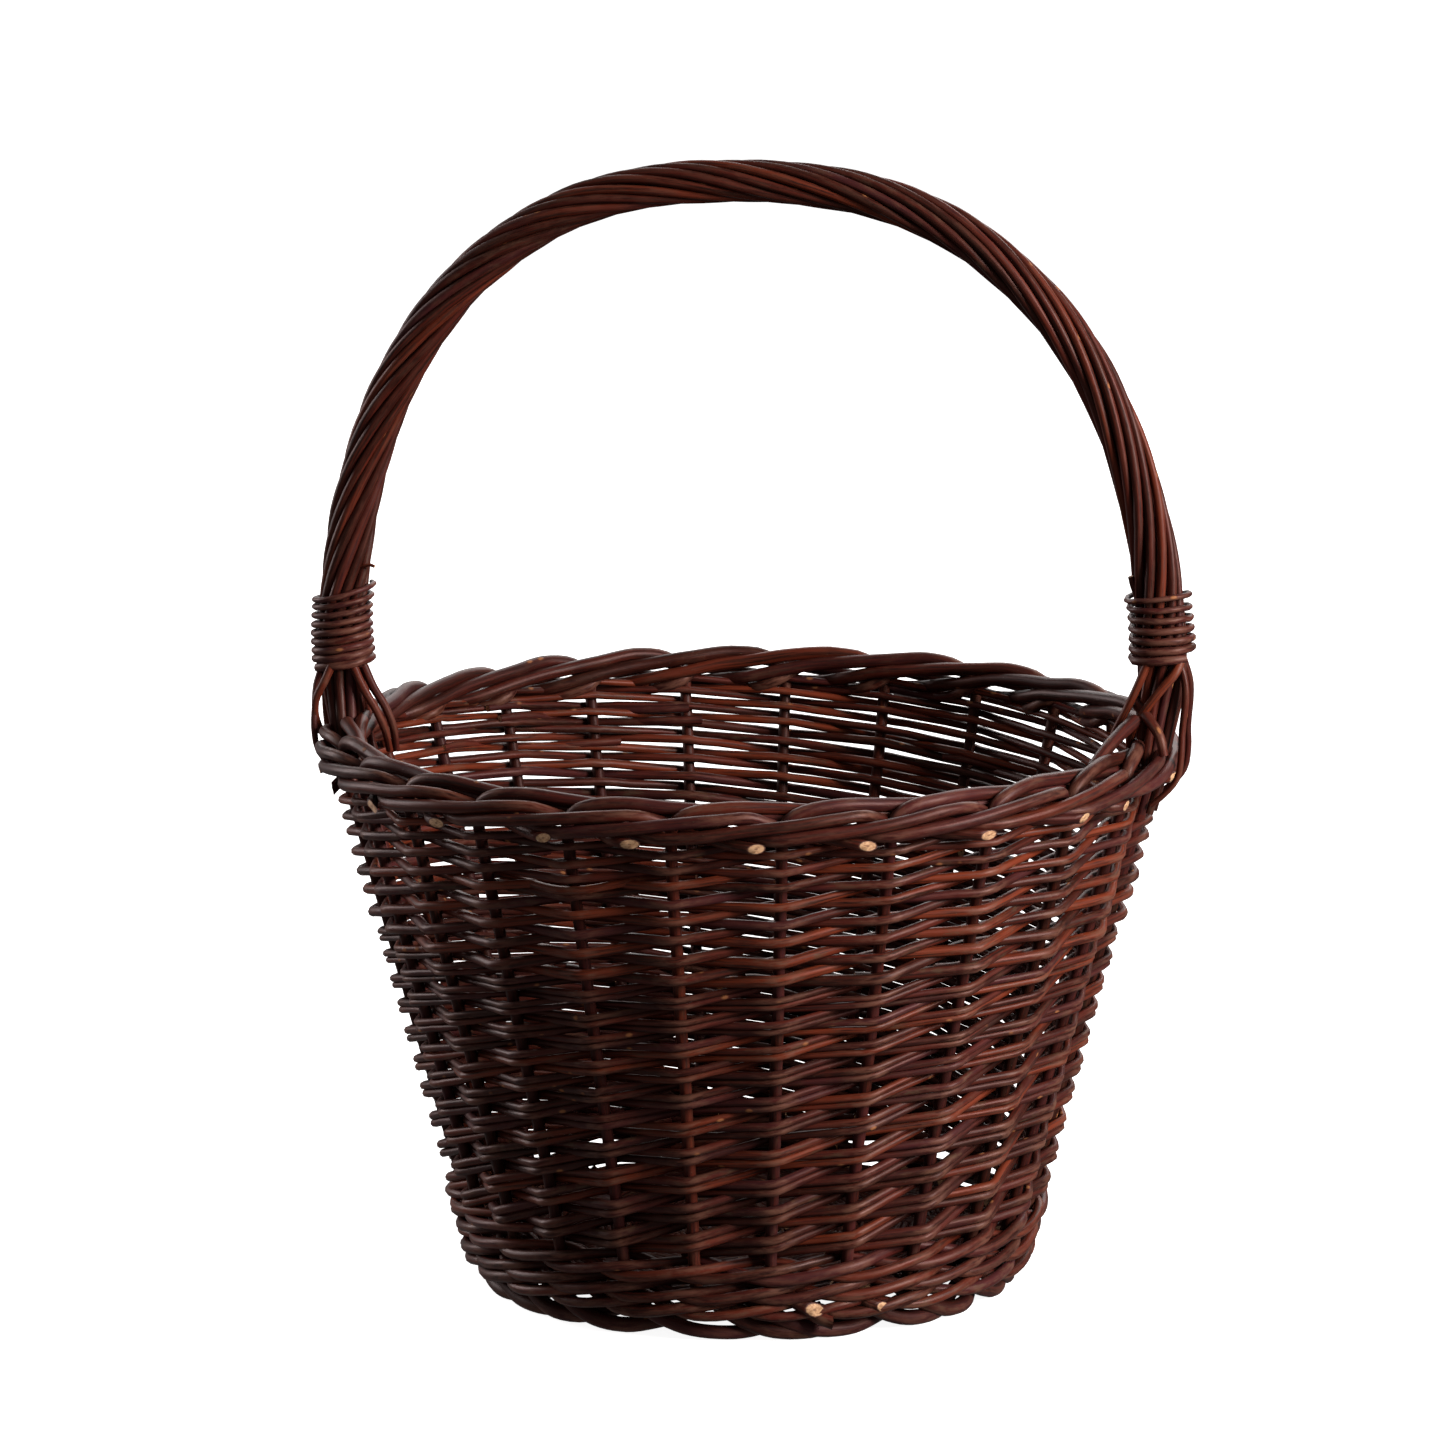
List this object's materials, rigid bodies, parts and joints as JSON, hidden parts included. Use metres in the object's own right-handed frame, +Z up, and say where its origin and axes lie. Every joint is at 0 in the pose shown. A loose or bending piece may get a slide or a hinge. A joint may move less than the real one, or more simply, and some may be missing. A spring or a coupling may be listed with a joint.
{
  "type": "woven market basket",
  "caption": "Round flared willow basket with a woven wall, a rolled border, a foot ring and a fixed roped bow handle over the top.",
  "frame": {"origin": "on the floor at the basket's centre, under the middle of the foot ring", "axes": "+Z up, +X along the handle from its left foot to its right foot, +Y across the handle"},
  "size_m": [0.4096, 0.394, 0.5152],
  "materials": {
    "willow_bark": "unpeeled dark willow, satin bark, mahogany brown",
    "willow_bark_dark": "unpeeled dark willow, satin bark, brown-black",
    "willow_bark_red": "unpeeled willow, satin bark, reddish brown",
    "handle_willow": "unpeeled willow, satin bark polished by use, red-brown"
  },
  "bodies": {
    "root": {"base_stick_1": "willow_bark_dark", "base_stick_2": "willow_bark_dark", "base_stick_3": "willow_bark_dark", "base_stick_4": "willow_bark_dark", "base_stick_5": "willow_bark_dark", "base_stick_6": "willow_bark_dark", "base_weave": "willow_bark", "foot_border": "willow_bark_dark", "handle_core": "handle_willow", "handle_rod_01": "handle_willow", "handle_rod_02": "handle_willow", "handle_rod_03": "handle_willow", "handle_rod_04": "handle_willow", "handle_rod_05": "handle_willow", "handle_rod_06": "handle_willow", "handle_rod_07": "handle_willow", "handle_rod_08": "handle_willow", "handle_rod_09": "handle_willow", "handle_rod_10": "handle_willow", "handle_rod_11": "handle_willow", "handle_tail_left_1": "willow_bark", "handle_tail_left_2": "willow_bark", "handle_tail_right_1": "willow_bark", "handle_tail_right_2": "willow_bark", "handle_tie_left": "willow_bark_red", "handle_tie_right": "willow_bark_red", "lower_weave": "willow_bark", "rim_border": "willow_bark", "stake_01": "willow_bark_dark", "stake_02": "willow_bark_dark", "stake_03": "willow_bark_dark", "stake_04": "willow_bark_dark", "stake_05": "willow_bark_dark", "stake_06": "willow_bark_dark", "stake_07": "willow_bark_dark", "stake_08": "willow_bark_dark", "stake_09": "willow_bark_dark", "stake_10": "willow_bark_dark", "stake_11": "willow_bark_dark", "stake_12": "willow_bark_dark", "stake_13": "willow_bark_dark", "stake_14": "willow_bark_dark", "stake_15": "willow_bark_dark", "stake_16": "willow_bark_dark", "stake_17": "willow_bark_dark", "stake_18": "willow_bark_dark", "stake_19": "willow_bark_dark", "stake_20": "willow_bark_dark", "stake_21": "willow_bark_dark", "stake_22": "willow_bark_dark", "stake_23": "willow_bark_dark", "stake_24": "willow_bark_dark", "upper_weave": "willow_bark_red", "upsett_wale": "willow_bark_red"}
  },
  "joints": []
}
